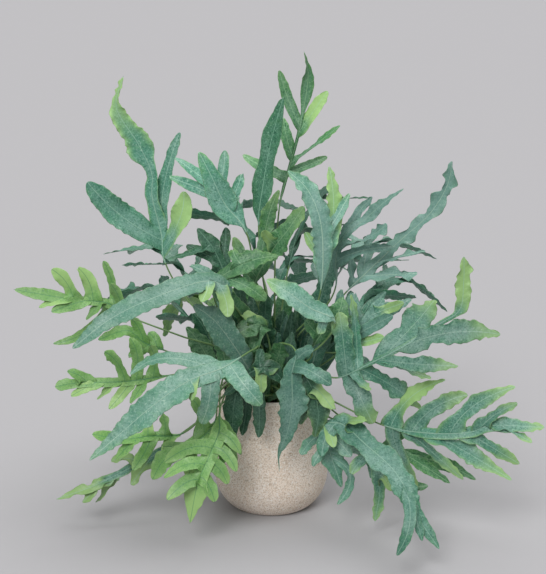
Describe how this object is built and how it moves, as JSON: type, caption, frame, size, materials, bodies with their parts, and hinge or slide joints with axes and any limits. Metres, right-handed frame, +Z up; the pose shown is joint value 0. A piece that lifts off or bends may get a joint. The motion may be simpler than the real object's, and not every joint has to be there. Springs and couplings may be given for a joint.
{
  "type": "potted fern",
  "caption": "Fern with deeply cut, wavy, strap-lobed blue-green fronds on thin stalks, growing from soil in a nursery pot inside a rounded speckled stoneware pot.",
  "frame": {"origin": "middle of the flat foot that the stoneware pot stands on", "axes": "+Z up along the pot's axis; -Y is the side the picture shows; +X is to the right in the picture"},
  "size_m": [0.62, 0.4809, 0.565],
  "materials": {
    "stoneware": "matte",
    "nursery_plastic": "satin",
    "soil": "matte",
    "rootstock": "matte",
    "leaf_blue": "matte",
    "leaf_pale": "matte",
    "leaf_green": "matte",
    "leaf_dark": "matte",
    "leaf_young": "matte"
  },
  "bodies": {
    "root": {"stoneware_pot": "stoneware", "nursery_pot": "nursery_plastic", "soil": "soil", "rootstock": "rootstock", "upper_left": "leaf_blue", "upper_mid": "leaf_blue", "dark_tall": "leaf_dark", "top": "leaf_green", "centre_right_tall": "leaf_pale", "right_twist": "leaf_blue", "right_wavy": "leaf_pale", "right_mid": "leaf_blue", "right_inner": "leaf_blue", "right_fan": "leaf_blue", "right_low": "leaf_blue", "right_low_back": "leaf_green", "right_bottom": "leaf_blue", "right_hanging": "leaf_blue", "right_rim": "leaf_pale", "front_pot": "leaf_blue", "front_left_big": "leaf_pale", "left_pale": "leaf_pale", "left_young": "leaf_young", "left_second": "leaf_young", "left_mid": "leaf_young", "left_low": "leaf_young", "left_bottom": "leaf_blue", "front_left_bright": "leaf_young", "rim_dark": "leaf_dark", "left_third": "leaf_young", "front_left_small": "leaf_young", "centre_left_big": "leaf_pale", "centre_blade": "leaf_green", "centre_light_tip": "leaf_pale", "top_centre": "leaf_green", "upper_left_dark": "leaf_dark", "rim_right": "leaf_dark", "centre_low": "leaf_dark", "centre_fold": "leaf_green", "centre_right_low": "leaf_green", "tuft_front_left": "leaf_green", "tuft_front_right": "leaf_blue", "tuft_front": "leaf_dark", "tuft_back_left": "leaf_dark", "tuft_back_right": "leaf_blue", "tuft_back": "leaf_green", "inner_right": "leaf_dark", "inner_front": "leaf_green", "back_right_low": "leaf_blue", "back_right": "leaf_pale", "back_tall": "leaf_dark", "back_middle": "leaf_blue", "back_left_tall": "leaf_blue", "back_left_down": "leaf_young", "back_left": "leaf_pale", "back_left_low": "leaf_blue"}
  },
  "joints": []
}
